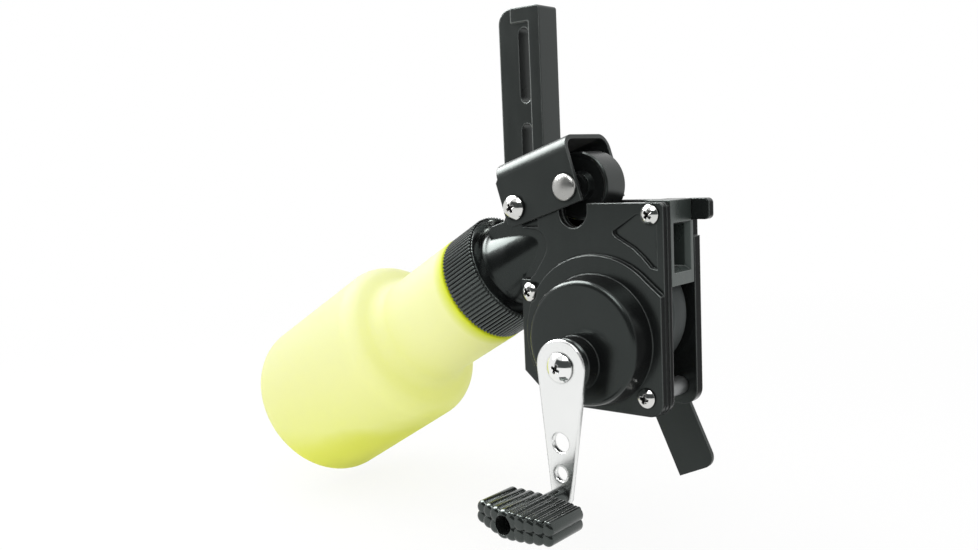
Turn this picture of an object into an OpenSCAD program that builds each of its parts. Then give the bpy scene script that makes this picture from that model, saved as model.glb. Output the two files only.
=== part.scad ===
// Bottle reel for bowfishing: a line bottle on a funnel throat, two side plates with a
// geared drive wheel between them, and a finger lever that presses a pinch roller on the wheel.
// X runs from the bottle towards the line outlet, -Y is the crank side, Z runs up the mount bar.
// The origin is the centre of the two bar slots on the face that meets the bow.
// Positions below are taken from the crank axis and moved to that origin at the end.

/* [Housing] */
// right edge of the side plates, from the crank axis
plate_right = 29.4; // [28.8:0.1:31]
// left edge of the side plates, from the crank axis
plate_left = 31.1; // [30.6:0.1:32]
// top edge of the side plates, above the crank axis
plate_top = 54.9; // [54:0.1:56]
// bottom edge of the side plates, below the crank axis
plate_bottom = 19; // [18:0.1:21]
// thickness of the front side plate
plate_t = 2.2; // [1.8:0.1:2.8]
// thickness of the gear cover flange
cover_t = 2.2; // [1.8:0.1:2.6]
// thickness of the back side plate
back_t = 3.9; // [3.4:0.1:4.6]
// free width between the two side plates
chamber_w = 17; // [16.4:0.1:18.4]

/* [Gear case] */
// height of the raised land on the cover
land_h = 2.4; // [1.8:0.1:3]
// radius of the raised land round the dome
land_r = 30; // [29:0.1:31]
// dome radius at its face
dome_r = 22.3; // [22:0.1:23.4]
// dome height above the raised land
dome_h = 9.4; // [9:0.1:11]
// wall of the dome
dome_wall = 2; // [1.6:0.1:2.4]
// radius of the crank bearing boss
boss_r = 9.6; // [8.6:0.1:10.4]
// length of the crank bearing boss
boss_h = 6.6; // [5.6:0.1:8]

/* [Gears] */
// gear module
gear_m = 1; // [0.98:0.01:1.02]
// teeth on the crank gear
crank_teeth = 22; // [20:2:22]
// teeth on the drive pinion
pinion_teeth = 10; // [10:1:12]
// width of the crank gear
gear_w = 5; // [4:0.1:5.6]
// tooth play at the pitch circle
gear_play = 0.3; // [0.2:0.05:0.5]

/* [Crank] */
// crank axis to knob axis
crank_len = 45.5; // [43:0.1:50]
// thickness of the crank arm
arm_t = 2; // [1.6:0.1:2.6]
// radius of the arm at the shaft end
arm_big_r = 9.8; // [9:0.1:10.6]
// radius of the arm at the knob end
arm_small_r = 4; // [3.8:0.1:4.8]
// turn of the crank from straight down, towards the bottle
crank_lean = 1.8; // [0:0.1:4]
// knob axle to the short end of the paddle
knob_left = 12.6; // [11:0.1:15]
// knob axle to the long end of the paddle
knob_right = 18.4; // [16:0.1:21]
// depth of the knob paddle at its middle, along the axle
knob_l = 21.5; // [20.5:0.1:26]
// depth of the knob paddle at its two ends
knob_end_l = 18.2; // [14:0.1:20]
// knob axle to the flat side of the paddle
knob_top = 5; // [4.8:0.1:6]
// knob axle to the bulged side of the paddle
knob_low = 5; // [4.6:0.1:5.6]
// finger lobes along the paddle
knob_lobes = 9; // [8:1:10]
// distance from arm to paddle
knob_stand = 11.4; // [10:0.1:13]

/* [Drive] */
// radius of the drive wheel over its tyre
wheel_r = 23.3; // [22.6:0.1:23.3]
// width of the drive wheel
wheel_w = 10; // [8:0.1:11]
// radius of the pinch roller
roller_r = 12.4; // [11:0.1:12.4]
// width of the pinch roller
roller_w = 12.4; // [11:0.1:12.6]

/* [Lever] */
// sheet thickness of the finger lever
sheet_t = 1.6; // [1.4:0.1:2]
// distance from lever pivot to roller axle
lever_len = 23.9; // [23.6:0.1:24.4]
// tilt of the lever when let go
lever_tilt = 17.5; // [16:0.1:18]
// width of the finger strip
strip_w = 16; // [13:0.1:18]
// length of the finger strip below the pivot
strip_len = 112; // [104:0.5:118]

/* [Bottle] */
// slope of the bottle axis below level
bottle_slope = 29.7; // [28.6:0.1:30.2]
// outside radius of the bottle body
bottle_r = 35.6; // [34:0.1:38]
// length of the bottle from the collar face
bottle_len = 139.3; // [120:0.1:160]
// outside radius of the bottle neck
neck_r = 23; // [22.6:0.1:23.6]
// wall of the bottle
bottle_wall = 1.6; // [1.2:0.1:2]
// outside radius of the ribbed collar
collar_r = 22.8; // [22.2:0.1:22.9]
// length of the ribbed collar
collar_len = 17; // [14:0.5:18]
// number of ribs round the collar
collar_ribs = 64; // [48:1:72]

/* [Mount] */
// width of the mount bar
bar_w = 20.8; // [20:0.1:24]
// thickness of the mount bar
bar_t = 12; // [10:0.1:13]
// width of the bolt slots
slot_w = 5.2; // [5:0.1:5.6]
// length of the bolt slots end to end
slot_len = 29.6; // [26:0.1:30]
// distance between the two slot centres
slot_gap = 37.9; // [36:0.1:40]

/* [Fits] */
// radial clearance of running fits
run_fit = 0.06; // [0.03:0.01:0.1]
// side clearance between moving pieces
side_gap = 0.4; // [0.35:0.05:0.5]

/* [Hidden] */
$fn = 96;
eps = 0.02;
// layers across the housing, from the seam between cover and front plate
y_cover = -cover_t;
y_land = y_cover - land_h;
y_dome = y_land - dome_h;
y_boss = y_dome - boss_h;
y_in = plate_t;
y_out = plate_t + chamber_w;
y_back = y_out + back_t;
y_mid = (y_in + y_out) / 2;
washer_t = 0.5;
washer_r = 7.5;
y_arm_back = y_boss - side_gap - washer_t;
y_arm = y_arm_back - arm_t;
// gear centres
gear_lean = 74;
gear_d = gear_m * (crank_teeth + pinion_teeth) / 2;
drive_x = gear_d * cos(gear_lean);
drive_z = gear_d * sin(gear_lean);
dome_off = 7.1;
dome_x = dome_off * cos(gear_lean);
dome_z = dome_off * sin(gear_lean);
dome_draft = 1.1;
dome_edge = 1.9;
land_lean = 50.4;
y_gear = y_land + 0.6;
pinion_over = 0.6;
shaft_end = 0.9;
tyre_t = 2;
// shafts and bushes
shaft_r = 3;
bush_wall = 1.4;
bush_r = shaft_r + bush_wall;
bush_lip = 1.2;
// case screws
screw_x1 = plate_right - 5.3;
screw_z1 = plate_top - 4;
screw_x2 = plate_right - 6.9;
screw_z2 = 7 - plate_bottom;
screw_x3 = 4.3 - plate_left;
screw_z3 = 22.3;
screw_r = 1.75;
screw_head_r = 3.45;
screw_head_h = 2.2;
screw_play = 0.15;
recess_l = 3.9;
recess_w = 0.9;
recess_d = 1.5;
post_r = 3.3;
// crank and knob
spigot_r = 2.6;
crank_screw_r = 1.5;
crank_screw_l = 10.5;
crank_head_r = 5.2;
crank_head_h = 3.2;
arm_hole_1 = 26.5;
arm_hole_r1 = 3.5;
arm_hole_2 = 37.6;
arm_hole_r2 = 2.6;
knob_x = -crank_len * sin(crank_lean);
knob_z = -crank_len * cos(crank_lean);
knob_roll = 4;
knob_pin_r = 2.2;
knob_rivet_r = 1.8;
knob_head_r = 2.9;
knob_head_h = 2;
knob_bore_r = 3.3;
knob_bore_l = 13.5;
knob_hub_r = 3.1;
y_pad = y_arm - knob_stand;
y_pin = y_pad - knob_l + knob_bore_l;
// lug at the line outlet
lug_t = 2.2;
lug_out = 7;
lug_in = 2.4;
lug_low = plate_top - 6.9;
lug_top = plate_top + 0.5;
lug_r = 1.8;
// lever
pivot_x = -31.8;
pivot_z = 53.6;
pivot_r = 2.5;
pivot_head_r = 4.6;
pivot_head_h = 2.8;
y_flange_front = y_cover - side_gap;
y_flange_back = y_back + side_gap;
y_nut = y_flange_back + sheet_t + side_gap;
nut_h = 3.6;
nut_r = 4.6;
flange_left = -5.4;
flange_right = 29;
flange_low = -6.5;
flange_top = 18;
bend_r = 5.5;
flange_cut = 1.2;
axle_r = 2;
roller_bore_r = axle_r + 1;
sleeve_r = 2.6;
sleeve_lip_r = 4.3;
rivet_r = 4.9;
rivet_h = 2.2;
strip_lean = 7;
strip_x = 12.5;
// notch in the plate tops for the roller axle
notch_x = -7.1;
notch_z = 52.2;
notch_r = 6.1;
// bottle throat, s runs along the bottle axis away from the housing
throat_x = -44.8;
throat_z = 29.5;
funnel_wall = 2;
funnel_s0 = -24;
funnel_r0 = 10.4;
bore_r = 5;
bore_s = -17;
lip_t = 2.5;
lip_r = 16.6;
flange_t = 2.4;
funnel_flange_r = 19.6;
seat_s = lip_t + side_gap + flange_t;
gasket_t = 0.7;
finish_r = 20.2;
rim_s = seat_s + gasket_t + side_gap;
neck_s = collar_len + 0.6;
shoulder_s = 59.2;
fillet_r = 4.2;
shoulder_r = 7.2;
body_taper = 0.6;
base_r = 8;
// mount bar
bar_gap = 3.3;
y_bar = y_back + bar_gap;
y_mount = y_bar + bar_t;
bar_left = -60.7;
slot_x = -48.3;
bar_low = pivot_z - 5;
low_margin = 7.5;
top_margin = 8;
slot_z2 = bar_low + low_margin + slot_len / 2;
slot_z1 = slot_z2 + slot_gap;
mount_z = (slot_z1 + slot_z2) / 2;
bar_top = slot_z1 + slot_len / 2 + top_margin;
bar_corner = 6;
pad_low = bar_low + 0.8;
pad_high = bar_low + 10.4;
pad_left = -54.6;
pad_right = -41.9;
mount_screw_z = bar_low + 5.2;
mount_screw_x = [-51.8, -44.9];
mount_screw_r = 2;
// return spring of the lever
spring_r = 4;
wire_r = 0.55;
spring_turns = 6;
spring_pitch = 1.75;
spring_y = y_mid - spring_turns * spring_pitch / 2;
leg_low = 8;
leg_high = 18;
// free space between two turns of the spring
spring_gap = spring_pitch - 2 * wire_r;
echo(spring_gap = spring_gap);

// moves a piece from crank axis positions to the mount origin
module on_mount() {
    translate([-slot_x, -y_mount, -mount_z]) children();
}

// sheet drawn in X and Z, standing from y0 to y1
module slab(y0, y1) {
    translate([0, y1, 0]) rotate([90, 0, 0]) linear_extrude(y1 - y0) children();
}

// round bar along Y
module rod(x, z, y0, y1, r) {
    translate([x, y1, z]) rotate([90, 0, 0]) cylinder(h = y1 - y0, r = r);
}

// turned piece about an axis along Y, profile in radius and distance towards the front
module turned(x, z, y) {
    translate([x, y, z]) rotate([90, 0, 0]) rotate_extrude() children();
}

// frame of the bottle: Z runs away from the housing
module on_throat() {
    translate([throat_x, y_mid, throat_z]) rotate([0, -90 - bottle_slope, 0]) children();
}

// frame of the lever sheet in its own level drawing
module on_lever() {
    translate([pivot_x, 0, pivot_z]) rotate([0, -lever_tilt, 0]) children();
}

// rounded rectangle from corner to corner
module round_box(x0, z0, x1, z1, r) {
    translate([x0 + r, z0]) square([x1 - x0 - 2 * r, z1 - z0]);
    translate([x0, z0 + r]) square([x1 - x0, z1 - z0 - 2 * r]);
    for (x = [x0 + r, x1 - r])
        for (z = [z0 + r, z1 - r])
            translate([x, z]) circle(r = r);
}

// upright slot with round ends
module slot(x, z, w, l) {
    translate([x - w / 2, z - l / 2 + w / 2]) square([w, l - w]);
    for (s = [-1, 1])
        translate([x, z + s * (l - w) / 2]) circle(r = w / 2);
}

// cross recess of a screw head, cut from the top at z = 0 downwards
module cross_recess() {
    for (a = [0, 90])
        rotate(a) translate([-recess_l / 2, -recess_w / 2, -recess_d])
            cube([recess_l, recess_w, recess_d + 1]);
}

// pan head screw along Y with its seat at y, head towards the front
module pan_screw(x, z, y, y_end, r, head_r, head_h) {
    translate([x, y, z]) rotate([90, 0, 0]) difference() {
        union() {
            rotate_extrude() polygon([[0, 0], [head_r, 0], [head_r, head_h * 0.35],
                [head_r * 0.92, head_h * 0.66], [head_r * 0.74, head_h * 0.87],
                [head_r * 0.45, head_h * 0.97], [0, head_h]]);
            translate([0, 0, y - y_end]) cylinder(h = y_end - y, r = r);
        }
        translate([0, 0, head_h]) cross_recess();
    }
}

// outline shared by the two side plates and, cut back, by the cover
module plate_outline() {
    chamfer_x = 13;
    chamfer_z = 11;
    corner = 6;
    difference() {
        union() {
            polygon([[-plate_left, chamfer_z - plate_bottom], [chamfer_x - plate_left, -plate_bottom],
                [plate_right - corner, -plate_bottom], [plate_right, corner - plate_bottom],
                [plate_right, plate_top - 2], [plate_right - 2, plate_top], [-plate_left, plate_top]]);
            translate([plate_right - corner, corner - plate_bottom]) circle(r = corner);
            translate([plate_right - 2, plate_top - 2]) circle(r = 2);
        }
        translate([notch_x, notch_z]) circle(r = notch_r);
        translate([notch_x - notch_r, notch_z]) square([2 * notch_r, plate_top - notch_z + 1]);
    }
}

// ear that holds the lever pivot and the throat on both plates
module throat_ear() {
    ear_r = 6;
    translate([pivot_x, pivot_z]) circle(r = ear_r);
    polygon([[1 - plate_left, throat_z - 9], [throat_x + 8, throat_z], [throat_x - 1, throat_z + 8],
        [throat_x - 4, throat_z + 14.8], [throat_x - 1.7, throat_z + 16.8], [throat_x + 4.3, throat_z + 18.6],
        [pivot_x - ear_r, pivot_z], [pivot_x + ear_r, pivot_z], [8 - plate_left, throat_z - 9]]);
}

// land round the dome, with a straight shoulder that leaves its circle towards the right edge
module raised_land() {
    inset = 0.5;
    // the straight shoulder lies a little inside the circle's tangent, so that the two cross
    line_r = land_r - 0.1;
    shoulder = dome_z + (line_r - (plate_right - dome_x) * cos(land_lean)) / sin(land_lean);
    intersection() {
        translate([-inset, 0]) plate_outline();
        translate([0, inset]) plate_outline();
        union() {
            translate([dome_x, dome_z]) circle(r = land_r);
            polygon([[dome_x, dome_z], [dome_x + line_r * cos(land_lean), dome_z + line_r * sin(land_lean)],
                [plate_right, shoulder], [plate_right, -plate_bottom], [dome_x, -plate_bottom]]);
        }
    }
}

module screw_holes(r) {
    translate([screw_x1, screw_z1]) circle(r = r);
    translate([screw_x2, screw_z2]) circle(r = r);
    translate([screw_x3, screw_z3]) circle(r = r);
}

module funnel_solid() {
    rotate_extrude() polygon([[0, funnel_s0], [funnel_r0, funnel_s0], [lip_r - 0.6, -1],
        [lip_r - run_fit, 0], [lip_r - run_fit, lip_t + side_gap],
        [funnel_flange_r, lip_t + side_gap], [funnel_flange_r, seat_s], [0, seat_s]]);
}

module funnel_bore() {
    mouth_r = lip_r - funnel_wall;
    rotate_extrude() polygon([[0, funnel_s0 - 1], [bore_r, funnel_s0 - 1], [bore_r, bore_s],
        [mouth_r, 0], [mouth_r, seat_s + 1], [0, seat_s + 1]]);
}

// half of the throat that is moulded on a side plate, side -1 is the front half
module throat_half(side) {
    big = 2 * bottle_r;
    intersection() {
        on_throat() funnel_solid();
        translate([throat_x - big, side < 0 ? y_mid - big : y_mid, throat_z - big])
            cube([2 * big, big, 2 * big]);
    }
}

// bore of the throat with room for the return spring, a seat for its lower leg and room for a post
module throat_cuts() {
    leg_w = 2 * wire_r + side_gap;
    on_throat() funnel_bore();
    rod(pivot_x, pivot_z, spring_y - 2 * wire_r, 2 * y_mid - spring_y + 2 * wire_r,
        spring_r + wire_r + side_gap);
    translate([pivot_x + spring_r - leg_w / 2, spring_y - leg_w / 2, pivot_z - leg_low])
        cube([2 * spring_r, leg_w, leg_low]);
    rod(screw_x3, screw_z3, y_in, y_out, post_r + side_gap);
}

// opening of the cover round the throat cone and under the lever
module cover_bite() {
    bite_r = 6.3;
    bite_x = throat_x + 19.1;
    bite_z = throat_z + 9.8;
    far = throat_x - 10;
    translate([bite_x, bite_z]) circle(r = bite_r);
    polygon([[bite_x + bite_r * 0.837, bite_z - bite_r * 0.548],
        [bite_x + bite_r * 0.151, bite_z + bite_r * 0.989], [far, bite_z + 9.5],
        [far, screw_z3 + 4.3], [screw_x3 - 0.7, screw_z3 + 4.5], [screw_x3 + 1.8, screw_z3 + 6.9]]);
    translate([far, bite_z + 7]) square([bite_x + 2.7 - far, plate_top - bite_z]);
}

module gear_cover() {
    seam = 0.3;
    rim = 0.8;
    pad_d = 1.5;
    pad_turn = 35.6;
    pad_lean = 6;
    pad_far = 2 * plate_top;
    color("#2b2d2e") on_mount() difference() {
        union() {
            slab(y_cover, 0) difference() {
                translate([-seam, 0]) plate_outline();
                cover_bite();
            }
            slab(y_land, 0) raised_land();
            turned(dome_x, dome_z, y_land) polygon(concat([[0, -1], [dome_r + dome_draft, -1],
                [dome_r + dome_draft, 0]], arc(dome_r - dome_edge, dome_h - dome_edge, dome_edge, 0, 90, 6),
                [[0, dome_h]]));
            turned(0, 0, y_dome) polygon([[0, -1], [boss_r, -1], [boss_r, boss_h - rim],
                [boss_r - rim, boss_h], [0, boss_h]]);
        }
        // gear room
        rod(dome_x, dome_z, y_dome + dome_wall, 1, dome_r - dome_wall);
        // crank bush seat
        rod(0, 0, y_boss - 1, 0, bush_r);
        // wedge pad beside the upper screw, deepest along its lower edge
        intersection() {
            slab(y_cover - 1, y_cover + pad_d) translate([screw_x1, screw_z1]) polygon([[-5.5, 0],
                [-14.9, -5.8], [-14.9, -6.8], [-13.7, -7.9], [-7, -11.6], [-3.2, -14.9], [-0.1, -18.3],
                [2.3, -18.7], [2.3, 0]]);
            translate([screw_x1, y_cover, screw_z1]) rotate([0, pad_turn, 0]) rotate([pad_lean, 0, 0])
                translate([-pad_far, -pad_far, -pad_far]) cube([2 * pad_far, pad_far, pad_far]);
        }
        // room for the head of the left screw in the raised land
        rod(screw_x3, screw_z3, y_land - 1, y_cover, screw_head_r + side_gap);
        slab(y_dome, 1) screw_holes(screw_r + screw_play);
    }
}

module front_plate() {
    color("#262829") on_mount() difference() {
        union() {
            slab(0, y_in) union() {
                plate_outline();
                throat_ear();
            }
            throat_half(-1);
        }
        throat_cuts();
        slab(-1, y_in + 1) screw_holes(screw_r + screw_play);
        rod(pivot_x, pivot_z, -1, y_in + 1, pivot_r);
        rod(drive_x, drive_z, -1, y_in + 1, bush_r);
        rod(0, 0, -1, y_in + 1, shaft_r + run_fit);
    }
}

module back_plate() {
    edge_step = 0.8;
    edge_low = lug_low - 6;
    color("#242627") on_mount() difference() {
        union() {
            slab(y_out, y_back) union() {
                difference() {
                    plate_outline();
                    translate([plate_right - edge_step, edge_low])
                        square([2 * edge_step, lug_low - edge_low]);
                }
                throat_ear();
                polygon([[pad_left, pad_low], [pad_right + 8, pad_low], [pivot_x, pivot_z - 6],
                    [pivot_x, pivot_z + 6], [pad_right, pad_high], [pad_left, pad_high]]);
            }
            // seat of the mount bar
            slab(y_out, y_bar) polygon([[pad_left, pad_low], [pad_right, pad_low],
                [pad_right, pad_high], [pad_left, pad_high]]);
            // lug beside the line window
            slab(y_out - lug_t, y_out + edge_step) round_box(plate_right - lug_in, lug_low,
                plate_right + lug_out, lug_top, lug_r);
            throat_half(1);
        }
        throat_cuts();
        slab(y_out - 1, y_back - 1) screw_holes(screw_r);
        rod(pivot_x, pivot_z, y_out - 1, y_back + 1, pivot_r);
        rod(drive_x, drive_z, y_out - 1, y_back - 0.6, bush_r);
        for (x = mount_screw_x)
            rod(x, mount_screw_z, y_out - 1, y_bar + 1, mount_screw_r + 0.1);
    }
}

module line_guide() {
    low = 26;
    high = lug_top;
    inner = 9.5;
    front = plate_right + 0.1;
    open_low = 30.3;
    open_high = 47.7;
    side = 1.7;
    flare = 0.8;
    sill = 1.5;
    mouth = 2.2;
    back_gap = 1.2;
    wheel_gap = 1.2;
    lug_fit = 0.2;
    frame_w = chamber_w - back_gap;
    open_w = frame_w - 2 * (side + flare);
    color("#3d4341") on_mount() difference() {
        union() {
            translate([plate_right - inner, y_in, low])
                cube([front - plate_right + inner, frame_w, high - low]);
            // boss that the upper case screw clamps between the plates
            rod(screw_x1, screw_z1, y_in, y_out, post_r);
        }
        // line window with a flared mouth
        translate([plate_right - inner - 1, y_in + side + flare, open_low + sill])
            cube([inner + 3, open_w, open_high - open_low - sill - flare]);
        hull() {
            translate([front - mouth, y_in + side + flare, open_low + sill])
                cube([eps, open_w, open_high - open_low - sill - flare]);
            translate([front + 0.1, y_in + side, open_low])
                cube([eps, open_w + 2 * flare, open_high - open_low]);
        }
        rod(drive_x, drive_z, y_in - 1, y_out + 1, wheel_r + wheel_gap);
        rod(screw_x1, screw_z1, y_in - 1, y_out + 1, screw_r + screw_play);
        // seat of the lug
        translate([plate_right - lug_in - lug_fit, y_out - lug_t - lug_fit, lug_low - lug_fit])
            cube([inner, chamber_w, high]);
    }
}

module mount_bar() {
    land_step = 0.8;
    land_x = 3;
    land_top = 5.8;
    edge = 1.4;
    hole_d = 8;
    color("#2a2c2d") on_mount() difference() {
        slab(y_bar, y_mount) difference() {
            union() {
                round_box(bar_left, bar_low, bar_left + bar_w, bar_top, edge);
                translate([bar_left, bar_low]) square([bar_w, bar_corner]);
            }
            difference() {
                translate([bar_left - 1, bar_top - bar_corner]) square([bar_corner + 1, bar_corner + 1]);
                translate([bar_left + bar_corner, bar_top - bar_corner]) circle(r = bar_corner);
            }
            slot(slot_x, slot_z1, slot_w, slot_len);
            slot(slot_x, slot_z2, slot_w, slot_len);
        }
        // lower field of the front face, left of the raised strip
        slab(y_bar - 1, y_bar + land_step) polygon([[bar_left - 1, pad_high + 2],
            [slot_x + land_x, pad_high + 2], [slot_x + land_x, bar_top - land_top],
            [slot_x - land_top, bar_top - land_top], [slot_x - land_top, bar_top + 1],
            [bar_left - 1, bar_top + 1]]);
        for (x = mount_screw_x)
            rod(x, mount_screw_z, y_bar - 1, y_bar + hole_d, mount_screw_r);
    }
}

module mount_screws() {
    color("#8b8f92") on_mount() for (x = mount_screw_x)
        pan_screw(x, mount_screw_z, y_out, y_bar + 7.5, mount_screw_r, 3.2, 2.3);
}

module case_screws() {
    color("#34373a") on_mount() {
        pan_screw(screw_x1, screw_z1, y_cover, y_back - 1.4, screw_r, screw_head_r, screw_head_h);
        pan_screw(screw_x2, screw_z2, y_land, y_back - 1.4, screw_r, screw_head_r, screw_head_h);
        pan_screw(screw_x3, screw_z3, y_cover, y_back - 1.4, screw_r, screw_head_r, screw_head_h);
    }
}

module spacer_posts() {
    color("#3b3f40") on_mount() difference() {
        union() {
            rod(screw_x2, screw_z2, y_in, y_out, post_r);
            rod(screw_x3, screw_z3, y_in, y_out, post_r);
        }
        slab(y_in - 1, y_out + 1) screw_holes(screw_r + 0.1);
    }
}

module flanged_bush(x, z, y, l, dir) {
    difference() {
        union() {
            rod(x, z, dir > 0 ? y : y - l, dir > 0 ? y + l : y, bush_r);
            rod(x, z, dir > 0 ? y - bush_lip : y, dir > 0 ? y : y + bush_lip, bush_r + 1.2);
        }
        rod(x, z, y - l - 2, y + l + 2, shaft_r + run_fit);
    }
}

module drive_bushes() {
    color("#b08d4a") on_mount() {
        flanged_bush(drive_x, drive_z, y_in, plate_t, -1);
        flanged_bush(drive_x, drive_z, y_out, back_t - 0.6, 1);
    }
}

module crank_bush() {
    color("#b08d4a") on_mount() difference() {
        rod(0, 0, y_boss, y_dome + dome_wall, bush_r);
        rod(0, 0, y_boss - 1, y_dome + dome_wall + 1, shaft_r + run_fit);
    }
}

module pivot_pin() {
    color("#45494c") on_mount()
        pan_screw(pivot_x, pivot_z, y_flange_front - sheet_t - side_gap, y_nut + nut_h + side_gap,
            pivot_r, pivot_head_r, pivot_head_h);
}

module pivot_nut() {
    color("#45494c") on_mount() translate([0, y_nut, 0]) difference() {
        translate([pivot_x, nut_h, pivot_z]) rotate([90, 0, 0]) cylinder(h = nut_h, r = nut_r, $fn = 6);
        rod(pivot_x, pivot_z, -1, nut_h + 1, pivot_r);
    }
}

module throat_gasket() {
    color("#1d1e1f") on_mount() on_throat() translate([0, 0, seat_s]) difference() {
        cylinder(h = gasket_t, r = funnel_flange_r - 0.2);
        translate([0, 0, -1]) cylinder(h = gasket_t + 2, r = lip_r - funnel_wall + 0.4);
    }
}

// spur gear outline from flank points of an involute
module spur(teeth) {
    pitch = gear_m * teeth / 2;
    base = pitch * cos(20);
    tip = pitch + gear_m * 0.92;
    root = pitch - gear_m * 1.25;
    steps = 5;
    // half tooth angle at the pitch circle, less the play
    half = 90 / teeth - gear_play / 2 / pitch * 180 / PI;
    function inv(r) = r <= base ? 0 : tan(acos(base / r)) * 180 / PI - acos(base / r);
    function ang(r) = half + inv(pitch) - inv(r);
    low = max(base, root + 0.05);
    flank = [for (i = [0 : steps]) low + (tip - low) * i / steps];
    points = [for (t = [0 : teeth - 1]) each concat(
        [root * [cos(t * 360 / teeth - ang(low)), sin(t * 360 / teeth - ang(low))]],
        [for (r = flank) r * [cos(t * 360 / teeth - ang(r)), sin(t * 360 / teeth - ang(r))]],
        [for (i = [steps : -1 : 0]) flank[i] * [cos(t * 360 / teeth + ang(flank[i])),
            sin(t * 360 / teeth + ang(flank[i]))]],
        [root * [cos(t * 360 / teeth + ang(low)), sin(t * 360 / teeth + ang(low))]])];
    polygon(points);
}

module crank_gear() {
    hub_r = 6;
    color("#c9c3ae") on_mount() difference() {
        union() {
            slab(y_gear - gear_w, y_gear) rotate(gear_lean) spur(crank_teeth);
            rod(0, 0, y_gear - gear_w - 1.2, y_gear + 1, hub_r);
        }
        rod(0, 0, y_gear - gear_w - 3, y_gear + 3, shaft_r);
    }
}

module drive_pinion() {
    // a tooth gap of the pinion faces a tooth of the crank gear
    turn = gear_lean + 180 + 180 / pinion_teeth;
    color("#9fa3a6") on_mount() difference() {
        slab(y_gear - gear_w - pinion_over, y_gear + pinion_over) translate([drive_x, drive_z])
            rotate(turn) spur(pinion_teeth);
        rod(drive_x, drive_z, y_gear - gear_w - 2, y_gear + 2, shaft_r);
    }
}

module crank_shaft() {
    color("#a9adb0") on_mount() difference() {
        union() {
            rod(0, 0, y_arm_back, y_in - 0.2, shaft_r);
            rod(0, 0, y_arm, y_arm_back + eps, spigot_r);
        }
        rod(0, 0, y_arm - 1, y_arm + crank_screw_l + side_gap, crank_screw_r);
    }
}

module crank_washer() {
    color("#b8bcbf") on_mount() difference() {
        rod(0, 0, y_arm_back, y_arm_back + washer_t, washer_r);
        rod(0, 0, y_arm_back - 1, y_arm_back + washer_t + 1, shaft_r);
    }
}

module crank_arm() {
    // side lean of the taper between the two round ends
    lean = asin((arm_big_r - arm_small_r) / crank_len);
    step = 5;
    top = [for (a = [-lean : step : 180 + lean]) arm_big_r * [cos(a), sin(a)]];
    low = [for (a = [180 + lean : step : 360 - lean]) arm_small_r * [cos(a), sin(a)] - [0, crank_len]];
    color("#e4e6e8") on_mount() slab(y_arm, y_arm_back) rotate(-crank_lean) difference() {
        polygon(concat(top, low));
        circle(r = spigot_r);
        translate([0, -crank_len]) circle(r = knob_rivet_r);
        translate([0, -arm_hole_1]) circle(r = arm_hole_r1);
        translate([0, -arm_hole_2]) circle(r = arm_hole_r2);
    }
}

module crank_screw() {
    color("#dfe1e3") on_mount()
        pan_screw(0, 0, y_arm, y_arm + crank_screw_l, crank_screw_r, crank_head_r, crank_head_h);
}

module knob_axle() {
    color("#c3c7ca") on_mount() {
        rod(knob_x, knob_z, y_pin, y_arm, knob_pin_r);
        rod(knob_x, knob_z, y_arm - eps, y_arm_back, knob_rivet_r);
        turned(knob_x, knob_z, y_pin) polygon([[0, 0], [knob_head_r, 0], [knob_head_r, knob_head_h * 0.6],
            [knob_head_r * 0.7, knob_head_h * 0.9], [0, knob_head_h]]);
    }
}

// paddle of two rows of round lobes along the axle, drawn about the knob axle
module paddle() {
    end_r = 2.4;
    lobe_end = 1.3;
    left_t = 7.8;
    right_t = 8.4;
    row_over = 0.35;
    core = 1.2;
    bore_wall = 0.7;
    mid = (knob_right - knob_left) / 2;
    half = (knob_right + knob_left) / 2 - end_r;
    pitch = 2 * half / (knob_lobes - 1);
    y_c = y_pad - knob_l / 2;
    function low_z(x) = x < 0 ? (knob_top - left_t + knob_low) * -x / (half - mid) - knob_low
        : (knob_top - right_t + knob_low) * x / (half + mid) - knob_low;
    function long(x) = knob_l - (knob_l - knob_end_l) * pow((x - mid) / half, 2);
    // the two rows run into each other halfway through the paddle
    function lobe(x) = (knob_top - low_z(x)) / 4 + row_over;
    for (i = [0 : knob_lobes - 1])
        let (x = mid - half + i * pitch, r = lobe(x))
            for (z = [knob_top - r, low_z(x) + r])
                turned(x, z, y_c + long(x) / 2) polygon([[0, 0], [r - lobe_end, 0],
                    [r - lobe_end * 0.3, lobe_end * 0.3], [r, lobe_end],
                    [r, long(x) - lobe_end], [r - lobe_end * 0.3, long(x) - lobe_end * 0.3],
                    [r - lobe_end, long(x)], [0, long(x)]]);
    // body between the lobes
    slab(y_c - knob_end_l / 2 + core, y_c + knob_end_l / 2 - core) polygon([[mid - half, knob_top - core],
        [mid - half, low_z(mid - half) + core], [0, core - knob_low], [mid + half, low_z(mid + half) + core],
        [mid + half, knob_top - core]]);
    rod(0, 0, y_c - knob_l / 2 + lobe_end / 2, y_pad, knob_bore_r + bore_wall);
}

module knob() {
    y_near = y_arm - side_gap;
    color("#3a3f3e") on_mount() translate([knob_x, 0, knob_z]) difference() {
        union() {
            rotate([0, knob_roll, 0]) paddle();
            rod(0, 0, y_pad - knob_hub_r, y_near, knob_hub_r);
        }
        rod(0, 0, y_pad - knob_l - 1, y_near + 1, knob_pin_r + run_fit);
        rod(0, 0, y_pad - knob_l - 1, y_pin + side_gap, knob_bore_r);
    }
}

module drive_shaft() {
    color("#a9adb0") on_mount()
        rod(drive_x, drive_z, y_gear - gear_w - pinion_over, y_back - shaft_end, shaft_r);
}

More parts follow.
